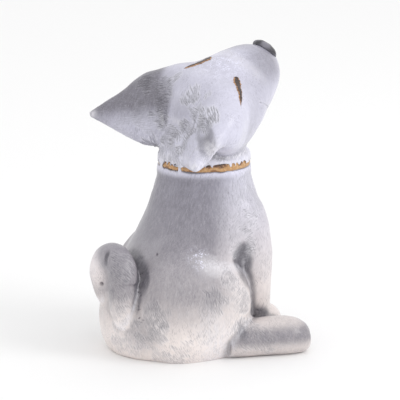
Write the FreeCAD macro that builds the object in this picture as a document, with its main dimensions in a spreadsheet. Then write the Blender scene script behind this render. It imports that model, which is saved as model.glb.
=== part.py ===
import FreeCAD, Part

import os

import Sketcher
from FreeCAD import Placement, Rotation, Vector

# A seated ceramic dog that looks up at the sky with its eyes shut.
#
# It is modelled as a potter builds it. The trunk and the head are hollow shells, so that they can be
# fired, and they meet in a plane under the collar. The ears, legs, haunches, feet and tail are solid
# lumps of clay that are pressed on to those shells and luted with slip. The collar is a strip of clay,
# the nose is a pellet, and each shut eye is a sliver of brown slip laid into a groove.
#
# Frame, in millimetres: +X is the way the dog faces, +Y is its left, +Z is up. z = 0 is the plane
# that it sits on, and the origin is on that plane, under the middle of the trunk.

doc = FreeCAD.newDocument("SeatedDog")
sheet = doc.addObject("Spreadsheet::Sheet", "Dims")

# Driving dimensions: alias, value, meaning.
DIMENSIONS = [
    ("wall", 4.2, "thickness of the hollow trunk and head"),
    ("floor_wall", 5.0, "thickness of the trunk's underside"),
    ("vent_radius", 4.5, "kiln vent in the underside"),
    ("vent_fwd", -8.0, "vent centre, along X"),
    # the plane where the head meets the trunk, and the collar on it
    ("seam_up", 67.5, "height of the neck seam"),
    ("seam_fwd", 1.6, "centre of the neck at the seam, along X"),
    ("collar_radius", 16.7, "outside of the collar"),
    ("collar_width", 3.6, "height of the collar strip"),
    ("collar_round", 0.9, "rounding of the collar's edges"),
    # where the head sits and how it is turned
    ("head_fwd", 5.9, "point between the eyes, along X"),
    ("head_side", -2.3, "point between the eyes, along Y"),
    ("head_up", 98.4, "point between the eyes, along Z"),
    ("head_yaw", 9.0, "turn to the left, degrees"),
    ("head_pitch", 44.0, "muzzle lifted, degrees"),
    ("head_roll", 16.3, "tilt to the right, degrees"),
    # haunches
    ("haunch_fwd", -7.6, "centre along X"),
    ("haunch_side", 15.8, "centre off the middle plane"),
    ("haunch_up", 17.5, "centre height"),
    ("haunch_long", 20.0, "half length"),
    ("haunch_wide", 12.4, "half width"),
    ("haunch_tall", 22.6, "half height"),
    # front paws, which are one with the front legs
    ("paw_fwd", 20.0, "centre along X"),
    ("paw_side", 8.6, "centre off the middle plane"),
    ("paw_up", 6.3, "centre height"),
    ("paw_long", 8.8, "half length"),
    ("paw_wide", 6.4, "half width"),
    ("paw_tall", 8.6, "half height"),
    # hind feet
    ("foot_splay", 7.0, "hind feet turned out, degrees"),
    ("foot_side", 20.5, "heel off the middle plane"),
    # tail: the arch where it turns over, and the leaf that hangs from it down the dog's right
    ("arch_fwd", -34.6, "arch centre along X"),
    ("arch_side", -4.4, "arch centre along Y"),
    ("arch_up", 28.7, "arch centre height"),
    ("arch_radius", 7.0, "arch, to the middle of the tail"),
    ("arch_turn", 10.0, "arch turned about the upright, degrees"),
    ("tail_radius", 5.3, "thickness of the tail, halved"),
    ("leaf_up", 22.8, "leaf centre height"),
    ("leaf_long", 5.6, "half width of the leaf, along X"),
    ("leaf_wide", 5.0, "half thickness of the leaf"),
    ("leaf_tall", 12.4, "half height of the leaf"),
    # nose, in the head's frame
    ("nose_ahead", 20.2, "nose centre ahead of the eyes"),
    ("nose_down", 10.4, "nose centre below the eyes"),
    ("nose_long", 2.6, "half length"),
    ("nose_wide", 5.3, "half width"),
    ("nose_tall", 4.4, "half height"),
    # the spoon-shaped hollow in an ear
    ("cup_share", 0.42, "how far along the ear its centre is"),
    ("cup_out", 4.8, "its centre off the ear's middle surface"),
    ("cup_long", 11.0, "half length"),
    ("cup_wide", 7.6, "half width"),
    ("cup_deep", 4.0, "half depth"),
    # eye inlays, in the head's frame
    ("eye_long", 5.6, "half length of the shut eye"),
    ("eye_wide", 1.15, "half height of the shut eye"),
    ("eye_deep", 1.6, "half depth of the inlay"),
]

# Stations of the lofts. Each row is a station's name and then its columns, and every one of them is
# a cell of the sheet called name_column.
# Trunk, from the seat to the inside of the head: height, centre along X, half length, half width.
TRUNK = [
    ("seat", 0.0, -9.5, 24.6, 21.6),
    ("rump", 6.0, -9.8, 27.2, 24.4),
    ("hip", 16.0, -10.0, 27.0, 25.6),
    ("waist", 30.0, -8.0, 22.8, 22.8),
    ("ribs", 44.0, 0.0, 22.2, 21.2),
    ("shoulder", 56.0, 1.6, 18.8, 18.2),
    ("neck", 66.0, 1.6, 15.9, 15.8),
    ("nape", 73.0, 2.2, 13.6, 13.4),
    ("poll", 80.0, 3.6, 9.0, 8.8),
]
# Head, from the back of the skull to the muzzle, in the head's own frame: ahead of the eyes, centre
# above the eyes, half width, half height.
HEAD = [
    ("occiput", -26.2, -7.6, 4.0, 3.8),
    ("nuchal", -24.4, -7.4, 8.0, 7.6),
    ("crown", -20.8, -7.0, 12.0, 11.6),
    ("skull", -15.2, -6.9, 15.2, 14.6),
    ("temple", -8.5, -7.2, 16.8, 16.2),
    ("brow", -2.9, -9.3, 16.0, 15.8),
    ("cheekbone", 2.7, -10.2, 14.7, 14.4),
    ("bridge", 8.6, -11.2, 12.8, 12.6),
    ("muzzle", 13.9, -12.0, 10.6, 10.4),
    ("lip", 17.8, -12.6, 7.9, 7.8),
    ("snub", 20.4, -12.4, 4.8, 4.7),
]
CAVITY_STATIONS = ("crown", "skull", "temple", "brow", "cheekbone", "bridge")
# Ear, from inside the skull to the tip: share of the way along, half width, half thickness.
EAR = [
    ("ear_root", 0.0, 12.2, 6.0),
    ("ear_swell", 0.24, 12.5, 5.4),
    ("ear_blade", 0.45, 10.2, 4.3),
    ("ear_point", 0.70, 6.0, 3.0),
    ("ear_end", 0.88, 2.9, 1.9),
    ("ear_tip", 1.0, 0.9, 0.8),
]
# Front leg: centre along X, centre off the middle plane, height, half length, half width.
FRONT_LEG = [
    ("scapula", 9.0, 10.0, 54.0, 7.0, 6.0),
    ("upper_arm", 13.8, 12.0, 43.0, 7.8, 7.0),
    ("elbow", 16.0, 11.2, 30.0, 7.0, 6.8),
    ("wrist", 17.2, 9.4, 16.0, 6.0, 6.0),
    ("pastern", 18.0, 8.8, 5.0, 6.0, 5.8),
]
# Hind foot, from the heel: distance along the foot, height of its centre, half width, half height.
HIND_FOOT = [
    ("heel", 2.0, 5.4, 6.4, 5.4),
    ("instep", 12.0, 6.2, 7.4, 6.8),
    ("ball", 22.0, 6.2, 7.9, 7.0),
    ("toes", 28.5, 5.6, 7.2, 6.2),
    ("toe_end", 32.3, 4.6, 3.8, 3.4),
]
# Tail, from the rump up to where its arch springs: X, Y, Z, radius.
TAIL = [
    ("tail_root", -29.0, 2.2, 15.0, 5.0),
    ("tail_rise", -33.4, 2.6, 21.0, 5.2),
]
# Points and directions on the head, in its own frame: ahead, above, off the middle plane.
LANDMARKS = [
    ("ear_root", -19.2, -4.4, 11.9),
    ("ear_tip", -37.7, 8.5, 28.6),
    ("ear_across", 0.75, 0.41, 0.53),  # from the trailing edge to the leading edge
    ("eye", -2.4, 0.4, 12.4),
    ("eye_slant", -0.79, -0.27, 0.56),  # along the shut lid, from the nose end to the cheek end
    ("eye_outward", 0.12, 0.60, 0.79),  # square to the skin
]

TABLES = [
    ("trunk", ("up", "fwd", "long", "wide"), TRUNK),
    ("head", ("ahead", "above", "wide", "tall"), HEAD),
    ("ear", ("share", "wide", "thick"), EAR),
    ("front leg", ("fwd", "off", "up", "long", "wide"), FRONT_LEG),
    ("hind foot", ("along", "up", "wide", "tall"), HIND_FOOT),
    ("tail", ("fwd", "side", "up", "radius"), TAIL),
    ("landmark", ("ahead", "above", "aside"), LANDMARKS),
]

SIDES = {"right": -1, "left": 1}  # sign of Y


def fill_sheet():
    """Puts every driving dimension and station in the spreadsheet, each cell under its own alias."""
    rows = list(DIMENSIONS)
    for part, columns, table in TABLES:
        for name, *values in table:
            rows += [(f"{name}_{column}", value, part) for column, value in zip(columns, values)]
    for i, (alias, value, meaning) in enumerate(rows, start=1):
        sheet.set(f"A{i}", alias)
        sheet.set(f"B{i}", str(value))
        sheet.set(f"C{i}", meaning)
        sheet.setAlias(f"B{i}", alias)
    doc.recompute()


def names(table):
    return [row[0] for row in table]


def dim(alias):
    return float(sheet.get(alias))


def bind(obj, **cells):
    """Binds properties of obj to expressions over the spreadsheet."""
    for prop, expression in cells.items():
        obj.setExpression(prop, expression)
    return obj


def cell(alias):
    return "Dims." + alias


def aimed(centre, normal, along):
    """A placement at centre whose Z axis is normal and whose X axis is as near to along as it can be."""
    return Placement(centre, Rotation(along, Vector(), normal, "ZXY"))


def ellipse(name, placement, major, minor):
    """One station of a loft: an ellipse whose longer half axis lies along the placement's X."""
    obj = doc.addObject("Part::Ellipse", name)
    bind(obj, MajorRadius=major, MinorRadius=minor)
    obj.Placement = placement
    return obj


def circle(name, placement, radius):
    return ellipse(name, placement, radius, radius)


def loft(name, stations):
    obj = doc.addObject("Part::Loft", name)
    obj.Sections = stations
    obj.Solid = True
    obj.Ruled = False
    return obj


def ellipsoid(name, placement, long, wide, tall):
    """Half axes along the placement's X, Y and Z."""
    obj = doc.addObject("Part::Ellipsoid", name)
    bind(obj, Radius1=tall, Radius2=long, Radius3=wide)
    obj.Placement = placement
    return obj


def fuse(name, *shapes):
    obj = doc.addObject("Part::MultiFuse", name)
    obj.Shapes = list(shapes)
    return obj


def common(name, *shapes):
    obj = doc.addObject("Part::MultiCommon", name)
    obj.Shapes = list(shapes)
    return obj


def cut(name, base, *tools):
    """base less every tool, as a chain of cuts of which the last is called name."""
    for i, tool in enumerate(tools, start=1):
        obj = doc.addObject("Part::Cut", name if i == len(tools) else f"{name}_trim{i}")
        obj.Base = base
        obj.Tool = tool
        base = obj
    return base


def half_space(name, bottom):
    """A cube that stands in for the half space above bottom, a height."""
    obj = doc.addObject("Part::Box", name)
    obj.Length = BIG
    obj.Width = BIG
    obj.Height = BIG
    obj.Placement = Placement(Vector(-BIG / 2, -BIG / 2, bottom), Rotation())
    return obj


def node(obj, label):
    """Marks obj as a finished sub-part, written to parts/label.step."""
    obj.Label = label
    NODES.append(obj)
    return obj


NODES = []
BIG = 200.0  # longer than the object, for the cubes that stand in for half spaces

fill_sheet()

SEAM = Placement(Vector(dim("seam_fwd"), 0, dim("seam_up")), Rotation())
HEAD_FRAME = Placement(
    Vector(dim("head_fwd"), dim("head_side"), dim("head_up")),
    Rotation(dim("head_yaw"), -dim("head_pitch"), dim("head_roll")),
)


def head_vector(landmark, sign):
    """A landmark on one side of the head, as a vector of the head's own frame."""
    return Vector(
        dim(landmark + "_ahead"), sign * dim(landmark + "_aside"), dim(landmark + "_above")
    )


def head_direction(vector):
    return HEAD_FRAME.Rotation.multVec(vector).normalize()


# ---- half spaces ------------------------------------------------------------------------------
above_seam = half_space("above_seam", dim("seam_up"))
below_seam = half_space("below_seam", dim("seam_up") - BIG)
below_ground = half_space("below_ground", -BIG)


# ---- trunk: a hollow pear on a flat seat --------------------------------------------------------
def trunk_loft(name, inset=None):
    """The trunk and neck as one loft, or its cavity when inset names the wall's cell."""
    stations = []
    less = f" - {cell(inset)}" if inset else ""
    for station in names(TRUNK):
        ring = ellipse(
            f"{name}_{station}",
            Placement(),
            cell(station + "_long") + less,
            cell(station + "_wide") + less,
        )
        ring.setExpression("Placement.Base.x", cell(station + "_fwd"))
        ring.setExpression("Placement.Base.z", cell(station + "_up"))
        stations.append(ring)
    if inset:
        stations[0].setExpression("Placement.Base.z", cell("floor_wall"))
    return loft(name, stations)


trunk_body = trunk_loft("trunk_body")
trunk_cavity = trunk_loft("trunk_cavity", inset="wall")
vent = doc.addObject("Part::Cylinder", "vent")
bind(vent, Radius=cell("vent_radius"), Height=cell("floor_wall") + " * 2")
vent.Placement = Placement(Vector(dim("vent_fwd"), 0, -dim("floor_wall") / 2), Rotation())
torso = node(cut("torso_shell", trunk_body, above_seam, trunk_cavity, vent), "torso")


# ---- head: a hollow egg that narrows to the muzzle ----------------------------------------------
def head_loft(name, stations, less=""):
    """The stations of the head as one loft, each drawn in by less, an expression."""
    rings = []
    for station in stations:
        middle = Vector(dim(station + "_ahead"), 0, dim(station + "_above"))
        square = Rotation(Vector(0, 1, 0), Vector(), Vector(1, 0, 0), "ZXY")
        rings.append(
            ellipse(
                f"{name}_{station}",
                HEAD_FRAME.multiply(Placement(middle, square)),
                cell(station + "_wide") + less,
                cell(station + "_tall") + less,
            )
        )
    return loft(name, rings)


head_egg = head_loft("head_egg", names(HEAD))
neck_stub = common("neck_stub", trunk_body, above_seam)
head_body = fuse("head_body", head_egg, neck_stub)
head_cavity = head_loft("head_cavity", CAVITY_STATIONS, f" - {cell('wall')}")

# ---- shut eyes: slivers of slip laid in grooves, flush with the face ----------------------------
eyes = {}
for side, sign in SIDES.items():
    outward = head_direction(head_vector("eye_outward", sign))
    slant = head_direction(head_vector("eye_slant", sign))
    eyes[side] = ellipsoid(
        f"{side}_eye_groove",
        aimed(HEAD_FRAME.multVec(head_vector("eye", sign)), outward, slant),
        cell("eye_long"),
        cell("eye_wide"),
        cell("eye_deep"),
    )
head = node(
    cut("head_shell", head_body, below_seam, head_cavity, trunk_cavity, *eyes.values()), "head"
)
for side in SIDES:
    node(common(f"{side}_eye_sliver", eyes[side], head_body), f"{side}_eye_inlay")

# ---- nose: a pellet pressed on to the end of the muzzle -----------------------------------------
nose_pellet = ellipsoid(
    "nose_pellet",
    HEAD_FRAME.multiply(Placement(Vector(dim("nose_ahead"), 0, -dim("nose_down")), Rotation())),
    cell("nose_long"),
    cell("nose_wide"),
    cell("nose_tall"),
)
node(cut("nose_button", nose_pellet, head_body), "nose")

# ---- collar: a strip of clay wrapped round the seam ---------------------------------------------
collar_body = doc.addObject("PartDesign::Body", "collar_body")
profile = collar_body.newObject("Sketcher::SketchObject", "collar_profile")
ground_plane = [f for f in collar_body.Origin.OriginFeatures if f.Role == "XY_Plane"][0]
profile.AttachmentSupport = [(ground_plane, "")]
profile.MapMode = "FlatFace"
profile.addGeometry(Part.Circle(Vector(), Vector(0, 0, 1), dim("collar_radius")), False)
profile.addConstraint(Sketcher.Constraint("Coincident", 0, 3, -1, 1))
profile.addConstraint(Sketcher.Constraint("Radius", 0, dim("collar_radius")))
profile.setExpression("Constraints[1]", cell("collar_radius"))
strip = collar_body.newObject("PartDesign::Pad", "collar_strip")
strip.Profile = profile
strip.setExpression("Length", cell("collar_width"))
strip.Midplane = True
doc.recompute()
rounding = collar_body.newObject("PartDesign::Fillet", "collar_rounding")
rounding.Base = (
    strip,
    [f"Edge{i}" for i, e in enumerate(strip.Shape.Edges, 1) if e.Curve.TypeId == "Part::GeomCircle"],
)
rounding.setExpression("Radius", cell("collar_round"))
collar_body.Placement = SEAM
collar = node(cut("collar_band", collar_body, trunk_body, head_egg), "collar")

# ---- ears: pointed cups, pinched thin and pressed on to the sides of the skull ------------------
for side, sign in SIDES.items():
    root = HEAD_FRAME.multVec(head_vector("ear_root", sign))
    along = HEAD_FRAME.multVec(head_vector("ear_tip", sign)) - root
    over = head_direction(head_vector("ear_across", sign))
    opening = along.cross(over).normalize() * sign  # the way the hollow faces: out and down
    stations = [
        ellipse(
            f"{side}_{station}",
            aimed(root + along * dim(station + "_share"), along, over),
            cell(station + "_wide"),
            cell(station + "_thick"),
        )
        for station in names(EAR)
    ]
    blade = loft(f"{side}_ear_blade_body", stations)
    middle = root + along * dim("cup_share") + opening * dim("cup_out")
    cup = ellipsoid(
        f"{side}_ear_cup",
        aimed(middle, along, over),
        cell("cup_wide"),
        cell("cup_deep"),
        cell("cup_long"),
    )
    node(cut(f"{side}_ear_cupped", blade, cup, head_body, collar), f"{side}_ear")

# ---- haunches: the folded hind legs, pressed on to the flanks ----------------------------------
haunches = {}
for side, sign in SIDES.items():
    lump = ellipsoid(
        f"{side}_haunch_lump",
        Placement(
            Vector(dim("haunch_fwd"), sign * dim("haunch_side"), dim("haunch_up")), Rotation()
        ),
        cell("haunch_long"),
        cell("haunch_wide"),
        cell("haunch_tall"),
    )
    haunches[side] = lump
    node(cut(f"{side}_haunch_pad", lump, trunk_body, below_ground), f"{side}_haunch")

# ---- hind feet: flat-soled loaves that come out from under the haunches -------------------------
for side, sign in SIDES.items():
    lie = Placement(
        Vector(0, sign * dim("foot_side"), 0), Rotation(Vector(0, 0, 1), sign * dim("foot_splay"))
    )
    stations = [
        ellipse(
            f"{side}_{station}",
            lie.multiply(
                aimed(
                    Vector(dim(station + "_along"), 0, dim(station + "_up")),
                    Vector(1, 0, 0),
                    Vector(0, 1, 0),
                )
            ),
            cell(station + "_wide"),
            cell(station + "_tall"),
        )
        for station in names(HIND_FOOT)
    ]
    loaf = loft(f"{side}_foot_loaf", stations)
    node(
        cut(f"{side}_foot_sole", loaf, trunk_body, haunches[side], below_ground),
        f"{side}_hind_foot",
    )

# ---- front legs: straight props with a round paw ------------------------------------------------
for side, sign in SIDES.items():
    stations = [
        ellipse(
            f"{side}_{station}",
            Placement(
                Vector(dim(station + "_fwd"), sign * dim(station + "_off"), dim(station + "_up")),
                Rotation(),
            ),
            cell(station + "_long"),
            cell(station + "_wide"),
        )
        for station in names(FRONT_LEG)
    ]
    prop = loft(f"{side}_leg_prop", stations)
    paw = ellipsoid(
        f"{side}_paw_lump",
        Placement(Vector(dim("paw_fwd"), sign * dim("paw_side"), dim("paw_up")), Rotation()),
        cell("paw_long"),
        cell("paw_wide"),
        cell("paw_tall"),
    )
    whole = fuse(f"{side}_leg_and_paw", prop, paw)
    node(
        cut(f"{side}_leg_foot", whole, trunk_body, haunches[side], below_ground),
        f"{side}_front_leg",
    )

# ---- tail: rises from the rump, turns over, and hangs as a leaf down the dog's right ------------
crest = Vector(dim("arch_fwd"), dim("arch_side"), dim("arch_up"))
upward = Vector(0, 0, 1)
turned = Rotation(upward, dim("arch_turn"))
sideways = turned.multVec(Vector(0, 1, 0))
spring = crest + sideways * dim("arch_radius")
root, bend = (Vector(dim(n + "_fwd"), dim(n + "_side"), dim(n + "_up")) for n in names(TAIL))
stations = [
    circle("tail_root", aimed(root, bend - root, sideways), cell("tail_root_radius")),
    circle("tail_rise", aimed(bend, spring - root, sideways), cell("tail_rise_radius")),
    circle("tail_spring", aimed(spring, upward, sideways), cell("tail_radius")),
]
rise = loft("tail_rising", stations)
arch = doc.addObject("Part::Torus", "tail_arch")
bind(arch, Radius1=cell("arch_radius"), Radius2=cell("tail_radius"))
arch.Angle3 = 180
arch.Placement = Placement(crest, Rotation(sideways, upward, sideways.cross(upward), "XYZ"))
leaf_centre = crest - sideways * dim("arch_radius")
leaf_centre.z = dim("leaf_up")
leaf = ellipsoid(
    "tail_leaf",
    Placement(leaf_centre, turned),
    cell("leaf_long"),
    cell("leaf_wide"),
    cell("leaf_tall"),
)
tail_curl = fuse("tail_curl", rise, arch, leaf)
node(cut("tail_pressed", tail_curl, trunk_body, haunches["right"]), "tail")

# ---- checks and files ---------------------------------------------------------------------------
doc.recompute()
for obj in doc.Objects:
    if "Invalid" in obj.State or "Error" in obj.State:
        raise SystemExit(f"{obj.Name} failed: {obj.State}")
os.makedirs("parts", exist_ok=True)
for obj in NODES:
    shape = obj.Shape
    if shape.isNull() or not shape.isValid() or not shape.Solids:
        raise SystemExit(f"{obj.Label} isn't a valid solid")
    shape.exportStep(f"parts/{obj.Label}.step")
    box = shape.optimalBoundingBox()
    low = (round(box.XMin, 1), round(box.YMin, 1), round(box.ZMin, 1))
    high = (round(box.XMax, 1), round(box.YMax, 1), round(box.ZMax, 1))
    print(f"{obj.Label:18s} {shape.Volume / 1000:6.2f} cm3, box {low} to {high}")
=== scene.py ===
import math
import random

import bpy
import numpy as np
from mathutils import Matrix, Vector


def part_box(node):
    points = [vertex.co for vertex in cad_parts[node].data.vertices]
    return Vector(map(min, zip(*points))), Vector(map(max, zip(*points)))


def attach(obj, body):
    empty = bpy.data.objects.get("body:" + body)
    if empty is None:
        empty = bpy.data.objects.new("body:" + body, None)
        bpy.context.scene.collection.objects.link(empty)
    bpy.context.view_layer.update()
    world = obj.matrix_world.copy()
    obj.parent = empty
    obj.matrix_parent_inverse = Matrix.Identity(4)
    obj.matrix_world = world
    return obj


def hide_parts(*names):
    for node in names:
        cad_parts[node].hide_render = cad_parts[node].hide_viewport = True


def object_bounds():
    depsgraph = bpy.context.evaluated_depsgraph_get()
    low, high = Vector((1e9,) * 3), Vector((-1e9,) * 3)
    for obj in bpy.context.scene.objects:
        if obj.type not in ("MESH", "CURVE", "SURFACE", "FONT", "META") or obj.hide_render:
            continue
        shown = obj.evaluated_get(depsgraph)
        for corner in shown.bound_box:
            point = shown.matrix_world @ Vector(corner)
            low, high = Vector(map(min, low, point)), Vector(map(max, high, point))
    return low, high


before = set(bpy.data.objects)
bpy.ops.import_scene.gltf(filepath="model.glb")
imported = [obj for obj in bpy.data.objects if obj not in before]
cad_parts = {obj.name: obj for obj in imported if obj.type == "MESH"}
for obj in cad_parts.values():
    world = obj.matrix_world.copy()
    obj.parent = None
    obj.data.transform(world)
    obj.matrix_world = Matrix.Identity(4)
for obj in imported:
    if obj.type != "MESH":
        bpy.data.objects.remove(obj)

import openvdb
from mathutils import Vector
from mathutils.kdtree import KDTree

CAD_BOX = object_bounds()
MM = 0.001
VOXEL = 0.6
BAND = 8.0  # how far from the clay its distance is known
SEED = 7

SIDES = {"right": -1.0, "left": 1.0}
CLAY = ["torso", "head", "tail"] + [
    f"{side}_{part}" for side in SIDES for part in ("haunch", "hind_foot", "front_leg", "ear")
]


def array(*values):
    return np.array(values, float)


def unit(v):
    v = np.asarray(v, float)
    return v / np.linalg.norm(v, axis=-1, keepdims=True)


def box(node):
    """A node's lowest and highest corner in millimetres."""
    low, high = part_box(node)
    return np.array(low) / MM, np.array(high) / MM


def spot(node, *share):
    """A place in a node's box, each share from 0 at its low side to 1 at its high side."""
    low, high = box(node)
    return low + (high - low) * array(*share)


def smooth(low, high, x):
    t = np.clip((x - low) / (high - low), 0, 1)
    return t * t * (3 - 2 * t)


def mix(a, b, t):
    return a + (b - a) * t


# ---- the head's own directions, from its eyes and nose -----------------------------------------
NOSE_DROP = math.radians(23.05)  # the nose is that far below straight ahead of the eyes
EYE_LINE = 3.1  # the eyes are that far behind the head's centre

EYES = {side: spot(f"{side}_eye_inlay", 0.5, 0.5, 0.5) for side in SIDES}
between = (EYES["right"] + EYES["left"]) / 2
HEAD_LEFT = unit(EYES["left"] - EYES["right"])
to_nose = spot("nose", 0.5, 0.5, 0.5) - between
to_nose = unit(to_nose - HEAD_LEFT * (to_nose @ HEAD_LEFT))
up_nose = np.cross(to_nose, HEAD_LEFT)
HEAD_AHEAD = math.cos(NOSE_DROP) * to_nose + math.sin(NOSE_DROP) * up_nose
HEAD_ABOVE = math.cos(NOSE_DROP) * up_nose - math.sin(NOSE_DROP) * to_nose
HEAD_CENTRE = between + EYE_LINE * HEAD_AHEAD


def head_way(ahead, above, aside, side="left"):
    return ahead * HEAD_AHEAD + above * HEAD_ABOVE + SIDES[side] * aside * HEAD_LEFT


def on_head(ahead, above, aside, side="left"):
    return HEAD_CENTRE + head_way(ahead, above, aside, side)


# ---- noise -------------------------------------------------------------------------------------
def lumps(points, size, seed):
    """Smooth random values from -1 to 1 that change over about that size."""
    table = np.random.default_rng(seed).uniform(-1, 1, (16, 16, 16))
    q = np.asarray(points, float) / size
    cell = np.floor(q).astype(int)
    f = q - cell
    f = f * f * (3 - 2 * f)
    value = 0
    for corner in np.ndindex(2, 2, 2):
        at = (cell + corner) % 16
        weight = np.prod(np.where(corner, f, 1 - f), axis=-1)
        value = value + weight * table[at[..., 0], at[..., 1], at[..., 2]]
    return value


# ---- clay: distances in a block of voxels ------------------------------------------------------
def triangles(obj):
    mesh = obj.data
    mesh.calc_loop_triangles()
    points = np.empty(len(mesh.vertices) * 3, np.float32)
    mesh.vertices.foreach_get("co", points)
    corners = np.empty(len(mesh.loop_triangles) * 3, np.int32)
    mesh.loop_triangles.foreach_get("vertices", corners)
    return points.reshape(-1, 3) / MM, corners.reshape(-1, 3).astype(np.uint32)


class Block:
    """A block of voxels with the distance to a surface in each, negative inside the clay."""

    def __init__(self, low, high, voxel, band):
        self.voxel = voxel
        self.band = band
        self.first = np.floor((low - band / 2) / voxel).astype(int)
        self.count = np.ceil((high + band / 2) / voxel).astype(int) - self.first + 1
        self.transform = openvdb.createLinearTransform(voxelSize=voxel)
        axes = [(self.first[i] + np.arange(self.count[i])) * voxel for i in range(3)]
        self.x, self.y, self.z = np.meshgrid(*axes, indexing="ij", sparse=True)

    def of_node(self, name):
        """The distance to a node's surface."""
        points, corners = triangles(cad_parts[name])
        width = self.band / self.voxel
        grid = openvdb.FloatGrid.createLevelSetFromPolygons(
            points, triangles=corners, transform=self.transform,
            exBandWidth=width, inBandWidth=width,
        )
        field = np.empty(self.count, np.float32)
        grid.copyToArray(field, ijk=[int(i) for i in self.first])
        return field

    def along(self, origin, way):
        """How far each voxel is from a point, measured along a direction."""
        return (
            (self.x - origin[0]) * way[0]
            + (self.y - origin[1]) * way[1]
            + (self.z - origin[2]) * way[2]
        )

    def ball(self, centre, radii, ways=np.eye(3)):
        """An ellipsoid with its three radii along three directions."""
        q = [self.along(centre, way) for way in ways]
        near = np.sqrt(sum((q[i] / radii[i]) ** 2 for i in range(3)))
        steep = np.sqrt(sum((q[i] / radii[i] ** 2) ** 2 for i in range(3)))
        return near * (near - 1) / np.maximum(steep, 1e-6)

    def roll(self, start, end, thick, thin):
        """A roll of clay from one point to another, with a radius at each end."""
        way = end - start
        length = np.linalg.norm(way)
        t = np.clip(self.along(start, way / length) / length, 0, 1)
        centre = [start[i] + way[i] * t for i in range(3)]
        away = np.sqrt(
            (self.x - centre[0]) ** 2 + (self.y - centre[1]) ** 2 + (self.z - centre[2]) ** 2
        )
        return away - mix(thick, thin, t)

    def sample(self, field, points):
        """A field's values at any points of the block."""
        q = points / self.voxel - self.first
        cell = np.clip(np.floor(q).astype(int), 0, self.count - 2)
        f = np.clip(q - cell, 0, 1)
        value = 0
        for corner in np.ndindex(2, 2, 2):
            at = cell + corner
            weight = np.prod(np.where(corner, f, 1 - f), axis=-1)
            value = value + weight * field[at[:, 0], at[:, 1], at[:, 2]]
        return value

    def skin(self, field):
        """The surface, as points and four-cornered faces."""
        grid = openvdb.FloatGrid(self.band)
        grid.copyFromArray(field.astype(np.float32), ijk=[int(i) for i in self.first])
        grid.transform = self.transform
        points, quads = grid.convertToQuads(0.0)
        return points.astype(float), quads.astype(int)


def add(clay, more, fillet):
    """Clay with more clay pressed on, and the join rounded."""
    near = np.maximum(fillet - np.abs(clay - more), 0) / fillet
    return np.minimum(clay, more) - near * near * fillet / 4


def dig(clay, tool, fillet):
    return -add(-clay, tool, fillet)


block = Block(array(*CAD_BOX[0]) / MM, array(*CAD_BOX[1]) / MM, VOXEL, BAND)
PART = {name: block.of_node(name) for name in CLAY}
COLLAR = block.of_node("collar")

# ---- modelling ---------------------------------------------------------------------------------
VENT = array(-8.0, 0.0, 0.0)
VENT_RADIUS = 4.5
VENT_DEPTH = 14.0
VENT_WALL = 1.5  # clay beside the vent in the block, and above it
VENT_ROOF = 2.0

GROOVE_IN = 0.25  # how much smaller all round the collar's groove is than the collar's solid
SLIP_IN = 0.05  # how much smaller again its slip is
NECK_DROP = -2.3  # the roll of clay under the collar, moved down from it
CHIN_RISE = 1.8  # the roll above the collar, moved up from it
CHIN_IN = 0.9  # and as much thinner
HAUNCH_OUT = 0.25  # how much thicker than their solids the haunches are


def raised(field, up):
    """A field moved up by about that much, or down."""
    return np.roll(field, round(up / VOXEL), axis=2)


# The groove down the tail, as shares of the tail's box.
LEAF_EDGE = [
    spot("tail", *share) for share in (
        (0.28, 0.38, 0.99), (0.13, 0.33, 0.80), (0.12, 0.44, 0.62),
        (0.24, 0.50, 0.44), (0.25, 0.24, 0.14),
    )
]
LEAF_EDGE_RADIUS = 0.8
MANE = (-27, -5, 4)  # the tuft behind the head: ahead, above, aside

# Rolls that join an ear to its cheek: from, to, radius at each end, fillet.
CHEEK_ROLLS = (
    ((-13.4, -0.7, 17.0), (-3.7, -10.6, 11.8), 4.6, 3.4, 5.0),
    ((-17.7, -1.9, 18.5), (-10.1, -12.5, 12.8), 4.0, 3.0, 5.0),
    ((-20, 0, 20), (-16, -14.5, 12), 4.6, 4.0, 6.0),
    ((-16.5, 2.2, 18.5), (-9.5, -3.0, 13.5), 4.4, 3.2, 6.0),
    ((-8.5, 0.3, 12.5), (-15.5, 1.6, 16), 5.0, 4.6, 6.0),
)


def model_body():
    """Torso, haunches, feet, front legs and tail."""
    clay = PART["torso"]
    from_vent = np.hypot(block.x - VENT[0], block.y - VENT[1])
    lid = np.maximum(-block.z, block.z - VENT_DEPTH - VENT_ROOF)
    clay = np.minimum(clay, np.maximum(from_vent - VENT_RADIUS - VENT_WALL, lid))
    clay = dig(clay, np.maximum(from_vent - VENT_RADIUS, block.z - VENT_DEPTH), 1.0)
    clay = add(clay, raised(COLLAR, NECK_DROP), 1.6)
    behind = smooth(-2, -20, block.x)
    for side in SIDES:
        clay = add(clay, PART[f"{side}_haunch"] - HAUNCH_OUT, mix(1.2, 7.0, behind))
    for side in SIDES:
        clay = add(clay, PART[f"{side}_front_leg"], mix(2.6, 6.0, smooth(30, 46, block.z)))
        clay = add(clay, PART[f"{side}_hind_foot"], 2.6)
    web = block.ball(spot("tail", 0.48, 0.5, 0.52), (2.6, 6.4, 9.5))
    clay = add(clay, add(PART["tail"], web, 2.0), 1.0)
    for start, end in zip(LEAF_EDGE, LEAF_EDGE[1:]):
        clay = dig(clay, block.roll(start, end, LEAF_EDGE_RADIUS, LEAF_EDGE_RADIUS), 0.6)
    return clay


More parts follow.
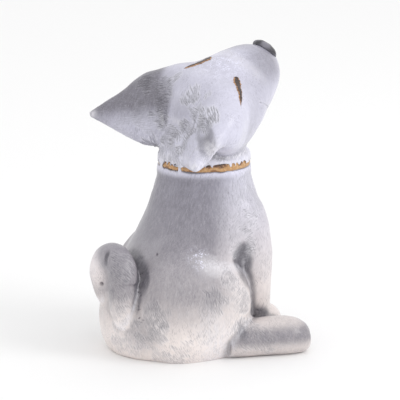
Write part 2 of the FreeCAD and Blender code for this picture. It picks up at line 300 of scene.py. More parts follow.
class Ear:
    """An ear's own directions: along it, across it to its leading edge, and out of its cup."""

    def __init__(self, side):
        self.root = on_head(-19.2, -4.4, 11.9, side)
        self.tip = on_head(-37.7, 8.5, 28.6, side)
        self.along = unit(self.tip - self.root)
        self.across = unit(head_way(0.75, 0.41, 0.53, side))
        self.out = unit(np.cross(self.along, self.across)) * SIDES[side]

    def place(self, share, across, out):
        return mix(self.root, self.tip, share) + self.across * across + self.out * out


EARS = {side: Ear(side) for side in SIDES}


def model_head():
    """Head and ears. An ear's trailing edge stands clear; its leading edge runs into the cheek."""
    clay = add(PART["head"], raised(COLLAR, CHIN_RISE) + CHIN_IN, 5.0)
    for side in SIDES:
        mane = on_head(*MANE, side)
        clay = add(clay, block.roll(mane, mane + array(1.5, 0, -8), 3.8, 3.2), 4.0)
    for side, ear in EARS.items():
        front = smooth(-4, 5, block.along(ear.root, ear.across))
        blade = PART[f"{side}_ear"]
        for start, end, thick, thin, fillet in CHEEK_ROLLS:
            roll = block.roll(on_head(*start, side), on_head(*end, side), thick, thin)
            blade = add(blade, roll, fillet)
        clay = add(clay, blade, mix(1.6, 8.0, front))
    ear = EARS["right"]
    furrow = block.roll(ear.place(0.30, 3.2, -6.6), ear.place(0.84, 5.8, 0.2), 2.8, 1.9)
    return dig(clay, furrow, 2.5)


def groups(count, a, b):
    """For each of count things, the lowest one that it is joined to, by pairs a and b."""
    root = np.arange(count)
    while True:
        low, high = np.minimum(root[a], root[b]), np.maximum(root[a], root[b])
        if np.array_equal(low, high):
            return root
        np.minimum.at(root, high, low)
        while not np.array_equal(root, root[root]):
            root = root[root]


def largest(points, quads):
    """The outermost skin: the biggest of the surfaces that don't touch."""
    following = np.roll(quads, -1, axis=1)
    group = groups(len(points), quads.ravel(), following.ravel())
    names, sizes = np.unique(group[quads[:, 0]], return_counts=True)
    kept = quads[group[quads[:, 0]] == names[sizes.argmax()]]
    used, flat = np.unique(kept, return_inverse=True)
    return points[used], flat.reshape(-1, 4)


def to_mesh(name, points, faces):
    """A mesh of points in metres and of arrays of faces."""
    mesh = bpy.data.meshes.new(name)
    mesh.vertices.add(len(points))
    mesh.vertices.foreach_set("co", np.asarray(points, np.float32).ravel())
    corners = np.concatenate([np.asarray(f).ravel() for f in faces])
    counts = np.concatenate([np.full(len(f), f.shape[1]) for f in faces])
    mesh.loops.add(len(corners))
    mesh.loops.foreach_set("vertex_index", corners.astype(np.int32))
    mesh.polygons.add(len(counts))
    mesh.polygons.foreach_set("loop_start", (np.cumsum(counts) - counts).astype(np.int32))
    mesh.update(calc_edges=True)
    mesh.validate()
    return mesh


def refine(points, quads):
    """One round of subdivision, so that the faces are half as large and smooth."""
    mesh = to_mesh("coarse", points * MM, [quads])
    obj = bpy.data.objects.new("coarse", mesh)
    bpy.context.scene.collection.objects.link(obj)
    obj.modifiers.new("halve", "SUBSURF").levels = 1
    obj.modifiers["halve"].render_levels = 1
    fine = bpy.data.meshes.new_from_object(obj.evaluated_get(bpy.context.evaluated_depsgraph_get()))
    co = np.empty(len(fine.vertices) * 3, np.float32)
    fine.vertices.foreach_get("co", co)
    corners = np.empty(len(fine.loops), np.int32)
    fine.loops.foreach_get("vertex_index", corners)
    bpy.data.objects.remove(obj)
    bpy.data.meshes.remove(mesh)
    bpy.data.meshes.remove(fine)
    return co.reshape(-1, 3).astype(float) / MM, corners.reshape(-1, 4).astype(int)


def normals(points, quads):
    """Each point's outward direction."""
    a, b, c, d = (points[quads[:, k]] for k in range(4))
    face = np.cross(c - a, d - b)
    total = np.zeros_like(points)
    for k in range(4):
        np.add.at(total, quads[:, k], face)
    return total / np.maximum(np.linalg.norm(total, axis=1, keepdims=True), 1e-12)


def spread(quads, count, values, rounds):
    """Values averaged with their neighbours', that many times."""
    edges = np.concatenate([quads[:, [k, (k + 1) % 4]] for k in range(4)])
    ends = np.concatenate([edges, edges[:, ::-1]])
    degree = np.maximum(np.bincount(ends[:, 0], minlength=count), 1)
    for _ in range(rounds):
        total = np.bincount(ends[:, 0], weights=values[ends[:, 1]], minlength=count)
        values = (values + total / degree) / 2
    return values


body = model_body()
whole = dig(add(body, model_head(), 0.8), COLLAR + GROOVE_IN, 0.5)
SKIN, QUADS = refine(*largest(*block.skin(whole)))
SKIN[:, 2] = np.maximum(SKIN[:, 2], 0)
OUT = normals(SKIN, QUADS)


# ---- which piece each face belongs to ----------------------------------------------------------
def owners():
    """For each face of the skin, the piece whose solid is nearest."""
    distance = np.stack([block.sample(PART[name], SKIN) for name in CLAY])
    distance = np.stack([spread(QUADS, len(SKIN), d, 6) for d in distance])
    return distance[:, QUADS].mean(axis=2).argmin(axis=0)


def tidy_owners(owner):
    """Gives islands to their neighbours, so that each piece is one patch of skin."""
    ends = np.sort(np.stack([QUADS.ravel(), np.roll(QUADS, -1, axis=1).ravel()], axis=1), axis=1)
    order = np.lexsort((ends[:, 1], ends[:, 0]))
    a, b = np.repeat(np.arange(len(QUADS)), 4)[order].reshape(-1, 2).T
    while True:
        same = owner[a] == owner[b]
        group = groups(len(QUADS), a[same], b[same])
        size = np.bincount(group, minlength=len(QUADS))
        biggest = {}
        for g in np.flatnonzero(size):
            rival = biggest.setdefault(owner[g], g)
            if size[g] > size[rival]:
                biggest[owner[g]] = g
        stray = ~np.isin(group, list(biggest.values()))
        if not stray.any():
            return owner
        one, other = np.concatenate([a[~same], b[~same]]), np.concatenate([b[~same], a[~same]])
        edge = stray[one]
        votes, count = np.unique(
            np.stack([group[one[edge]], owner[other[edge]]], axis=1), axis=0, return_counts=True
        )
        winner = np.arange(len(QUADS))
        for (g, name), _ in sorted(zip(votes.tolist(), count), key=lambda vote: vote[1]):
            winner[g] = name
        owner = np.where(stray, winner[group], owner)


OWNER = tidy_owners(owners())


# ---- what the needle and the glaze leave, and painted light and shade, as values on the skin ---
TREE = KDTree(len(SKIN))
for index, point in enumerate(SKIN):
    TREE.insert(point, index)
TREE.balance()
RANDOM = random.Random(SEED)
CUT = np.zeros(len(SKIN))  # depth carved away
RAISED = np.zeros(len(SKIN))  # the burr beside a cut
MARK = np.zeros(len(SKIN))  # how much dark glaze a cut holds
BURR_HIGHLIGHT = np.zeros(len(SKIN))  # how much painted highlight lies on the burr beside a cut

STEP = 0.25  # between the points of a stroke
# Rows of strokes are laid this many times over, each this many times as long, deep and dark.
TIMES = 2
AS_LONG = 0.72
AS_DEEP = 1.2
AS_DARK = 1.25
BURR_HEIGHT = 0.3  # a burr's height as a share of its cut's depth

BEHIND_RIGHT = unit(array(0.927, -0.375, 0.0))
UPWARD = array(0.0, 0.0, 1.0)


def lean(angle, side="right"):
    """A direction as seen from the right and a little behind: 0 ahead, 90 up, in degrees."""
    way = math.cos(math.radians(angle)) * BEHIND_RIGHT + math.sin(math.radians(angle)) * UPWARD
    return way * array(1, -SIDES[side], 1)


def incise(path, width, depth, dark, burr_and_highlight=1.0):
    """Cuts a groove along points on the skin, deepest in its middle, with a low burr beside it and
    a painted highlight on the burr.
    """
    for step, point in enumerate(path):
        share = (step + 0.5) / len(path)
        press = math.sin(math.pi * share) ** 0.5
        for _, i, away in TREE.find_range(point, width * 2):
            if away < width:
                fall = (1 - (away / width) ** 2) ** 2
                CUT[i] = max(CUT[i], depth * press * fall)
                MARK[i] = max(MARK[i], dark * press * fall)
            else:
                fall = math.sin(math.pi * (away / width - 1))
                RAISED[i] = max(RAISED[i], BURR_HEIGHT * burr_and_highlight * depth * press * fall)
                BURR_HIGHLIGHT[i] = max(BURR_HIGHLIGHT[i], burr_and_highlight * dark * press * fall)


def trail(start, way, length, bend):
    """Points along the skin from a start, that way, turning by bend radians over its length."""
    path = []
    at = np.array(start, float)
    way = np.array(way, float)
    for _ in range(max(2, int(length / STEP))):
        _, i, _ = TREE.find(at)
        out = OUT[i]
        at = at - out * ((at - SKIN[i]) @ out)
        path.append(at)
        way = way - out * (way @ out)
        way = unit(way)
        turn = bend * STEP / length
        way = unit(way + np.cross(out, way) * turn)
        at = at + way * STEP
    return path


def comb(
    centre, reach, way, rows, length=3.0, width=0.3, depth=0.16, dark=0.7, fan=9, gap=0.68, teeth=5
):
    """Rows of needle strokes about a point: those in a row lie side by side, much the same way."""
    centre = np.asarray(centre, float)
    found = [i for _, i, _ in TREE.find_range(centre, reach)]
    for _ in range(rows * TIMES if found else 0):
        i = found[int(RANDOM.random() * len(found))]
        if RANDOM.random() < np.linalg.norm(SKIN[i] - centre) / reach - 0.4:
            continue
        out = OUT[i]
        turn = math.radians(RANDOM.gauss(0, fan))
        bend = RANDOM.uniform(-0.35, 0.35)
        press = RANDOM.uniform(0.55, 1.1)
        ahead = way - out * (way @ out)
        if np.linalg.norm(ahead) < 0.2:
            continue
        ahead = unit(ahead)
        beside = np.cross(out, ahead)
        ahead = math.cos(turn) * ahead + math.sin(turn) * beside
        count = RANDOM.randint(teeth - 2, teeth + 1)
        for k in range(count):
            long = AS_LONG * length * RANDOM.uniform(0.6, 1.25)
            hard = press * RANDOM.uniform(0.75, 1.15)
            start = SKIN[i] + beside * gap * (k - count / 2 + RANDOM.uniform(-0.2, 0.2))
            start = start + ahead * RANDOM.uniform(-0.8, 0.8) - ahead * long / 2
            path = trail(start, ahead, long, bend)
            incise(path, width, AS_DEEP * depth * hard, min(1, AS_DARK * dark * hard))


def both(centre):
    """A place on the dog's right and its mirror on the left, with the side's name."""
    for side in SIDES:
        yield np.asarray(centre, float) * array(1, -SIDES[side], 1), side


# Strokes on the right side of the body, and their mirrors: place, reach, lean, rows, kind.
BODY_STROKES = (
    ((15, -10, 58), 10, -98, 40, dict(length=5.5, depth=0.11, dark=0.35, fan=6, gap=1.0)),
    ((7, -16, 56), 8, -112, 20, dict(length=4.5, depth=0.08, dark=0.22, fan=7)),
    ((5, -18, 47), 7, -122, 16, dict(length=4.5, depth=0.09, dark=0.25, fan=7)),
    ((11, -19, 46), 5, -150, 12, dict(length=2.8, depth=0.17, dark=0.5)),
    ((9, -19, 38), 5, -168, 12, dict(length=2.6, depth=0.17, dark=0.55)),
    ((16, -18, 34), 9, -100, 18, dict(length=3.2, depth=0.08, dark=0.2)),
    ((-6, -26, 23), 5, -98, 12, dict(length=4.4, depth=0.2, dark=0.6, fan=14, gap=0.95)),
    ((2, -26, 29), 4, -118, 8, dict(length=3.4, depth=0.18, dark=0.5)),
    ((6, -22, 20), 6, -152, 14, dict(length=4.0, depth=0.2, dark=0.55, fan=7)),
    ((-4, -27, 15), 10, -80, 24, dict(length=3.4, depth=0.08, dark=0.2)),
    ((-16, -24, 26), 10, -92, 22, dict(length=3.0, depth=0.07, dark=0.2)),
    ((-25, -20, 15), 8, -58, 30, dict(length=4.2, depth=0.18, dark=0.6, fan=7)),
    ((-20, -23, 7), 8, -62, 20, dict(length=3.4, depth=0.14, dark=0.4, fan=9)),
    ((-33, -13, 9), 9, -78, 26, dict(length=3.2, depth=0.13, dark=0.4)),
    ((-8, -27, 6), 8, -75, 12, dict(length=2.4, depth=0.09, dark=0.25)),
    ((12, -28, 7), 6, -48, 14, dict(length=3.4, depth=0.15, dark=0.4, fan=7)),
    ((23, -30, 8), 5, -35, 8, dict(length=2.8, depth=0.1, dark=0.25)),
    ((6, -25, 11), 4, -105, 12, dict(length=2.8, depth=0.2, dark=0.7)),
)


def carve_body():
    for place, reach, angle, rows, kind in BODY_STROKES:
        for centre, side in both(place):
            comb(centre, reach, lean(angle, side), rows, **kind)


def carve_tail():
    leaf = spot("tail", 0.35, 0.1, 0.5)
    comb(leaf + array(0, 0, 9), 6, lean(-38), 12, length=4.4, depth=0.2, dark=0.6, fan=6)
    comb(leaf, 7, lean(-55), 18, length=4.6, depth=0.17, dark=0.5, fan=6)
    comb(leaf - array(0, 0, 7), 6, lean(-65), 12, length=3.8, depth=0.14, dark=0.4, fan=7)
    comb(spot("tail", 0.2, 0.7, 0.6), 8, lean(-80), 10, length=3.0, depth=0.08, dark=0.2)


def carve_ear(side):
    ear = EARS[side]
    for across in (-8, -2, 4):
        root = ear.place(0.0, across, -5)
        comb(root, 6.5, ear.along, 9, length=4.2, depth=0.22, dark=1.0, fan=11)
    crown = on_head(-17.9, 5.2, 17.5, side)
    comb(crown, 4.2, ear.along, 9, length=5.0, depth=0.26, dark=1.0, fan=8, gap=0.9)
    comb(on_head(-15, 5, 8, side), 7, ear.along, 10, length=3.6, depth=0.16, dark=0.7, fan=14)
    comb(ear.place(0.3, 0, -3), 11, ear.along, 34, length=5.5, depth=0.1, dark=0.32, fan=6)
    comb(ear.place(0.7, 0, -2), 9, ear.along, 16, length=4.5, depth=0.07, dark=0.22, fan=6)


def carve_head():
    for side in SIDES:
        carve_ear(side)
        mane = on_head(*MANE, side) + array(-2, 0, -3)
        back = array(0.3, -0.3, -1)
        comb(mane, 7, back, 22, length=5.5, width=0.34, depth=0.3, dark=0.5, fan=10)


def line(points, width, depth, dark):
    """A groove through a few points laid on the skin."""
    points = [np.asarray(p, float) for p in points]
    path = []
    for a, b in zip(points, points[1:]):
        steps = max(2, int(np.linalg.norm(b - a) / STEP))
        for k in range(steps):
            at = mix(a, b, k / steps)
            _, i, _ = TREE.find(at)
            path.append(at - OUT[i] * ((at - SKIN[i]) @ OUT[i]))
    incise(path, width, depth, dark)


def carve_mouth():
    for side in SIDES:
        corner = on_head(0.7, -10, 14.7, side)
        under = on_head(5.8, -20, 10.3, side)
        line([corner + head_way(-1.0, 1.6, 0.2, side), corner], 0.4, 0.3, 0.5)
        halfway = mix(corner, under, 0.5) + head_way(-0.8, 0.2, 0.4, side)
        line([corner, halfway, under], 0.42, 0.3, 0.45)


def carve_toes():
    for side in SIDES:
        foot = f"{side}_hind_foot"
        for share in (0.36, 0.66):
            ends = ((0.86, share, 0.95), (0.99, share, 0.62), (1.0, share, 0.3))
            line([spot(foot, *at) for at in ends], 0.5, 0.35, 0.55)


def carve_ear_edge():
    """The front edge of the right ear, drawn on beside the crown."""
    places = ((-15.7, 5.3, 9.5), (-20.4, 2.4, 8.4), (-25.3, -1.3, 6.8), (-30, -3.5, 6.1))
    line([on_head(*at, "right") for at in places], 0.6, 0.35, 0.7)


def pit(centre, reach, count, width=0.42, depth=0.3):
    """Pinholes where gas left the glaze."""
    found = [i for _, i, _ in TREE.find_range(centre, reach)]
    for _ in range(count if found else 0):
        i = found[int(RANDOM.random() * len(found))]
        incise([SKIN[i]], width * RANDOM.uniform(0.7, 1.3), depth, 1.0, 0)


def carve_pits():
    """A large one on the tail, a row beside it, some behind the front legs, one on the back."""
    pit(spot("tail", 0.2, 0.61, 0.48), 0.8, 1, width=1.3, depth=1.0)
    for height in range(16, 41, 4):
        pit((-28.5, -8.5 - 0.5 * (41 - height) ** 0.9, height), 1.8, 5)
    for centre, _ in both((15, -17, 12)):
        pit(centre, 4, 8)
    pit((-21.9, -12.8, 38.4), 0.8, 1, width=0.6, depth=0.6)


carve_body()
carve_tail()
carve_head()
carve_mouth()
carve_toes()
carve_ear_edge()
carve_pits()

UNCUT = 0.02  # a burr stands only where less than this is carved away
LUMPS = 0.10 * lumps(SKIN, 5.0, SEED) + 0.05 * lumps(SKIN, 2.2, SEED + 1)
FREE = smooth(0.0, 1.2, SKIN[:, 2])  # 0 on the foot face, which stays flat
SHAPED = SKIN + OUT * ((LUMPS - CUT + RAISED * (CUT < UNCUT)) * FREE)[:, None]
SHAPED_OUT = normals(SHAPED, QUADS)


def crevice(reach):
    """How far the clay closes round each point, within that reach."""
    return np.clip(1 - block.sample(whole, SKIN + OUT * reach) / reach, 0, 1)


def crest(reach):
    """How sharply the clay turns away at each point, within that reach."""
    return np.clip(1 + block.sample(whole, SKIN - OUT * reach) / reach, 0, 1)


RIDGE = spread(QUADS, len(SKIN), crest(2.4), 2)
MINE = np.zeros((len(CLAY), len(SKIN)))
for k in range(4):
    MINE[OWNER, QUADS[:, k]] = 1


def near(centre, reach):
    """1 about a point, falling to 0 at that reach, which may differ along x, y and z."""
    return smooth(1.0, 0.25, np.linalg.norm((SKIN - centre) / np.asarray(reach, float), axis=1))


def owned(name, rounds=6):
    """Which skin belongs to a piece, soft at the joins."""
    return spread(QUADS, len(SKIN), MINE[CLAY.index(name)], rounds)


def grey_and_shade():
    """How grey the glaze is: very on the back, left ear and crown, little low down and in front;
    with painted shade in the creases in front of the haunches and above the feet, in the valley
    between the ears and in the right ear's dimple.
    """
    x, z = SKIN[:, 0], SKIN[:, 2]
    grey = mix(0.02, 0.72, smooth(6, 26, z)) + 0.14 * smooth(34, 44, z)
    grey *= mix(1.0, 0.34, smooth(-6.5, 7.5, x - 0.1 * (z - 40)))
    for centre, _ in both((-29, -17, 13)):
        grey = np.maximum(grey, 0.55 * near(centre, (11, 14, 13)))
    # painted shade in the crease between each haunch and its front leg
    for centre, _ in both((9, -17, 35)):
        grey = np.maximum(grey, near(centre, (4.5, 7, 11)))
    # painted shade in the crease where each haunch meets its hind foot
    for centre, _ in both((6, -26, 9)):
        grey = np.maximum(grey, 0.9 * near(centre, (3.5, 6, 6)))
    grey *= mix(0.15, 1.0, smooth(65.6, 63.4, z))
    ahead, above = ((SKIN - HEAD_CENTRE) @ way for way in (HEAD_AHEAD, HEAD_ABOVE))
    face = mix(0.10, 0.36, smooth(-20, -8, above)) * mix(1.0, 0.45, smooth(-8, 4, above))
    for side in SIDES:
        face += 0.34 * near(on_head(15, -6, 8, side), (12, 12, 12))
    face += 0.12 * smooth(-6, -14, ahead)
    # painted shade in the valley between the ears
    face = np.maximum(face, 0.46 * near(on_head(-20, 2, 1, "right"), (10, 13, 15)))
    face *= mix(0.25, 1.0, smooth(68.6, 79, z))
    face = np.maximum(face, 0.88 * near(on_head(-18, 2, 12), (15, 15, 15)))
    grey = np.where(z > 67.2, face, grey)
    for side, ear in EARS.items():
        across = (SKIN - ear.root) @ ear.across
        full = mix(0.38, 1.05, smooth(-6, 4, across)) if side == "left" else 0.12
        grey = mix(grey, full, owned(f"{side}_ear", 80))
    # painted shade in the dimple of the right ear
    grey = np.maximum(grey, 0.6 * near(on_head(-25.5, 3, -20), (5, 5, 7)))
    for side in SIDES:
        foot = mix(0.30, 0.84, smooth(3, 7, z)) - 0.52 * smooth(9, 12.5, z)
        grey = mix(grey, foot, owned(f"{side}_hind_foot"))
        leg = 0.18 + 0.12 * smooth(20, 45, z)
        # painted shade where the front leg meets the haunch
        leg = np.maximum(leg, 0.8 * near(array(9, SIDES[side] * 16.5, 34), (4, 5, 12)))
        grey = mix(grey, leg, owned(f"{side}_front_leg"))
    leaf = mix(0.0, 0.76, smooth(14, 27, z))
    leaf *= 1 - 0.95 * near(spot("tail", 0.0, 0.68, 0.66), (8, 7, 11))
    grey = mix(grey, leaf, owned("tail"))
    return np.clip(grey, 0, 0.97)


GREY_AND_SHADE = spread(QUADS, len(SKIN), grey_and_shade(), 10)


def specks_and_glints():
    """Pale specks: where the glaze has broken on the crown and brow, and painted highlights on the
    tops of the haunches.
    """
    specks = np.zeros(len(SKIN))
    for centre, reach in (
        (on_head(2, 2, 0), 14), (on_head(-8, 2, 8, "right"), 8), (on_head(-8, 2, 8, "left"), 8),
        (spot("right_haunch", 0.45, 0.4, 0.97), 6), (spot("left_haunch", 0.45, 0.6, 0.97), 6),
        (spot("right_haunch", 0.08, 0.5, 1.0), 5), (spot("left_haunch", 0.08, 0.5, 1.0), 5),
    ):
        specks = np.maximum(specks, near(centre, (reach, reach, reach)))
    return specks


def painted_crease_shade():
    """Painted shade in the crevices, where the clay closes round: less on the head, more between
    the limbs.
    """
    crease_shade = spread(QUADS, len(SKIN), np.maximum(crevice(1.6), 0.9 * crevice(3.2)), 2)
    crease_shade = crease_shade * (1 - 0.85 * near(array(8, 0, 73), (16, 20, 6)))
    crease_shade = crease_shade * (1 - 0.5 * near(on_head(-22, 2, 6, "right"), (8, 8, 9)))
    crease_shade = crease_shade * (1 - 0.6 * near(on_head(-29, -5, 0), (9, 10, 9)))
    # more painted shade in the creases in front of the haunches and above the feet, and in the
    # groove beside the tail
    for place, reach, deep in (
        ((8.5, -18, 32), (6.5, 8, 14), 0.9), ((5.5, -26, 9), (3, 5, 6), 0.5),
    ):
        for centre, _ in both(place):
            crease_shade = np.maximum(crease_shade, deep * near(centre, reach))
    return np.maximum(crease_shade, 0.8 * near(array(-27.5, -15, 28), (3.5, 5, 13)))


SPECKS_AND_GLINTS = specks_and_glints()
FUR = 0.25 + 1.8 * smooth(67, 69, SKIN[:, 2]) * smooth(82, 72, SKIN[:, 2])
COOL = smooth(14, 70, SKIN[:, 2])
CREASE_SHADE = painted_crease_shade()


# ---- pieces ------------------------------------------------------------------------------------
def sunk(points, depth):
    """Points moved down into the clay, where they lie less deep than that."""
    for _ in range(10):
        shallow = np.maximum(block.sample(whole, points) + depth, 0)
        slope = np.stack([
            block.sample(whole, points + step) - block.sample(whole, points - step)
            for step in np.eye(3) * VOXEL
        ], axis=1)
        slope /= np.maximum(np.linalg.norm(slope, axis=1, keepdims=True), 1e-6)
        points = points - slope * np.minimum(shallow, 0.5)[:, None]
    return points


def rings(loop, out):
    """Points that close a loop of skin inside the clay: rings towards a sunken middle."""
    count = 6
    middle = loop.mean(axis=0) - unit(out.mean(axis=0)) * 2.0
    deep = loop - out * 0.8
    inner = [sunk(loop - out * 0.4, 0.35)]
    inner += [sunk(mix(deep, middle, k / count), 0.9) for k in range(count)]
    return inner, sunk(middle[None], 1.0)[0]


def edge_loops(quads):
    """The loops of edges that only one face uses, in the order of the faces."""
    start, end = quads.ravel(), np.roll(quads, -1, axis=1).ravel()
    count = quads.max() + 1
    alone = ~np.isin(start * count + end, end * count + start)
    after = {}
    for a, b in zip(start[alone].tolist(), end[alone].tolist()):
        after.setdefault(a, []).append(b)
    loops = []
    while after:
        first = at = next(iter(after))
        loop = []
        while True:
            loop.append(at)
            ways = after[at]
            at = ways.pop()
            if not ways:
                del after[loop[-1]]
            if at == first:
                break
        loops.append(np.array(loop))
    return loops


def patch(name, values):
    """One closed piece: its part of the skin, and the joins that close it inside."""
    quads = QUADS[OWNER == CLAY.index(name)]
    used, flat = np.unique(quads, return_inverse=True)
    quads = flat.reshape(-1, 4)
    points = SHAPED[used]
    out = SHAPED_OUT[used]
    faces = [quads]
    extra = []
    total = len(points)
    for loop in edge_loops(quads):
        inner, middle = rings(points[loop], out[loop])
        before = loop
        for ring in inner:
            now = total + np.arange(len(ring))
            total += len(ring)
            extra.append(ring)
            nxt = np.roll(np.arange(len(ring)), -1)
            faces.append(np.stack([before, now, now[nxt], before[nxt]], axis=1))
            before = now
        extra.append(middle[None])
        nxt = np.roll(before, -1)
        faces.append(np.stack([before, np.full(len(before), total), nxt], axis=1))
        total += 1
    every = np.concatenate([points, *extra]) if extra else points
    mesh = to_mesh(name, every * MM, faces)
    mesh.polygons.foreach_set("use_smooth", np.ones(len(mesh.polygons), bool))
    corner = np.empty(len(mesh.loops), np.int32)
    mesh.loops.foreach_get("vertex_index", corner)
    ways = np.empty(len(mesh.loops) * 3, np.float32)
    mesh.corner_normals.foreach_get("vector", ways)
    ways = ways.reshape(-1, 3)
    outer = len(quads) * 4
    ways[:outer] = out[corner[:outer]]
    mesh.normals_split_custom_set(ways.tolist())
    for key, value in values.items():
        attribute = mesh.attributes.new(key, "FLOAT", "POINT")
        full = np.zeros(total, np.float32)
        full[: len(used)] = value[used]
        attribute.data.foreach_set("value", full)
    return mesh


def finished(name, mesh, slot, material):
    """An object with its material, riding with the dog."""
    obj = bpy.data.objects.new(name, mesh)
    bpy.context.scene.collection.objects.link(obj)
    mesh.materials.append(material)
    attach(obj, "root")
    return obj


def inlay(name, voxel, grow, rough, size):
    """The points and faces of a small piece from its CAD solid, with a hand-made surface."""
    low, high = box(name)
    small = Block(low, high, voxel, voxel * 6)
    points, quads = largest(*small.skin(small.of_node(name) - grow))
    out = normals(points, quads)
    return points + out * (rough * lumps(points, size, SEED))[:, None], quads


# ---- materials ---------------------------------------------------------------------------------
class Nodes:
    """A material's node tree, with short calls to add to it."""

    def __init__(self, name):
        self.material = bpy.data.materials.new(name)
        self.material.use_nodes = True
        self.tree = self.material.node_tree
        self.surface = self.tree.nodes["Principled BSDF"]
        place = self.tree.nodes.new("ShaderNodeTexCoord")
        self.place = place.outputs["Object"]

    def put(self, socket, value):
        if isinstance(value, bpy.types.NodeSocket):
            self.tree.links.new(value, socket)
        elif value is not None:
            socket.default_value = value

    def value(self, name):
        """One of the values kept on a mesh's points."""
        node = self.tree.nodes.new("ShaderNodeAttribute")
        node.attribute_name = name
        return node.outputs["Fac"]

    def noise(self, size, detail=3.0, rough=0.5, stretch=(1, 1, 1)):
        """Noise with features of about that size in millimetres."""
        scale = self.tree.nodes.new("ShaderNodeVectorMath")
        scale.operation = "MULTIPLY"
        self.put(scale.inputs[0], self.place)
        scale.inputs[1].default_value = [1 / (size * MM * s) for s in stretch]
        node = self.tree.nodes.new("ShaderNodeTexNoise")
        self.put(node.inputs["Vector"], scale.outputs[0])
        node.inputs["Scale"].default_value = 1.0
        node.inputs["Detail"].default_value = detail
        node.inputs["Roughness"].default_value = rough
        return node.outputs["Fac"]

    def hair(self, wide, long, turn):
        """Distance from scattered short lines, in units of their spacing across them."""
        place = self.tree.nodes.new("ShaderNodeMapping")
        place.vector_type = "TEXTURE"
        self.put(place.inputs["Vector"], self.place)
        place.inputs["Rotation"].default_value = turn
        place.inputs["Scale"].default_value = (wide * 2 * MM, wide * 2 * MM, long * MM)
        node = self.tree.nodes.new("ShaderNodeTexVoronoi")
        self.put(node.inputs["Vector"], place.outputs[0])
        node.inputs["Scale"].default_value = 1.0
        return node.outputs["Distance"]

    def dots(self, size):
        """Distance from scattered dots, in units of their spacing."""
        scale = self.tree.nodes.new("ShaderNodeVectorMath")
        scale.operation = "SCALE"
        self.put(scale.inputs[0], self.place)
        scale.inputs["Scale"].default_value = 1 / (size * MM)
        node = self.tree.nodes.new("ShaderNodeTexVoronoi")
        self.put(node.inputs["Vector"], scale.outputs[0])
        node.inputs["Scale"].default_value = 1.0
        return node.outputs["Distance"]

    def sum(self, operation, a, b=None, clamp=False):
        node = self.tree.nodes.new("ShaderNodeMath")
        node.operation = operation
        node.use_clamp = clamp
        self.put(node.inputs[0], a)
        self.put(node.inputs[1], b)
        return node.outputs[0]

    def span(self, value, low, high, to_low=0.0, to_high=1.0):
        """A value's way from low to high, as a soft way from one number to another."""
        node = self.tree.nodes.new("ShaderNodeMapRange")
        node.interpolation_type = "SMOOTHSTEP"
        keys = ("Value", "From Min", "From Max", "To Min", "To Max")
        for key, given in zip(keys, (value, low, high, to_low, to_high)):
            self.put(node.inputs[key], given)
        return node.outputs["Result"]

    def blend(self, share, a, b):
        node = self.tree.nodes.new("ShaderNodeMix")
        node.data_type = "RGBA"
        self.put(node.inputs["Factor"], share)
        self.put(node.inputs["A"], a)
        self.put(node.inputs["B"], b)
        return node.outputs["Result"]

    def bump(self, height, distance, before=None):
        node = self.tree.nodes.new("ShaderNodeBump")
        self.put(node.inputs["Height"], height)
        node.inputs["Distance"].default_value = distance * MM
        if before is not None:
            self.put(node.inputs["Normal"], before)
        return node.outputs["Normal"]

    def finish(self, colour, roughness, normal, coat=0.0):
        self.put(self.surface.inputs["Base Color"], colour)
        self.put(self.surface.inputs["Roughness"], roughness)
        self.put(self.surface.inputs["Normal"], normal)
        self.put(self.surface.inputs["Coat Weight"], coat)
        self.surface.inputs["Coat Roughness"].default_value = 0.12
        self.surface.inputs["IOR"].default_value = 1.5
        return self.material


def linear(red, green, blue):
    """A colour given as it looks on a screen, from 0 to 255, as the shader wants it."""
    def one(c):
        c /= 255
        return c / 12.92 if c < 0.04045 else ((c + 0.055) / 1.055) ** 2.4
    return (one(red), one(green), one(blue), 1.0)


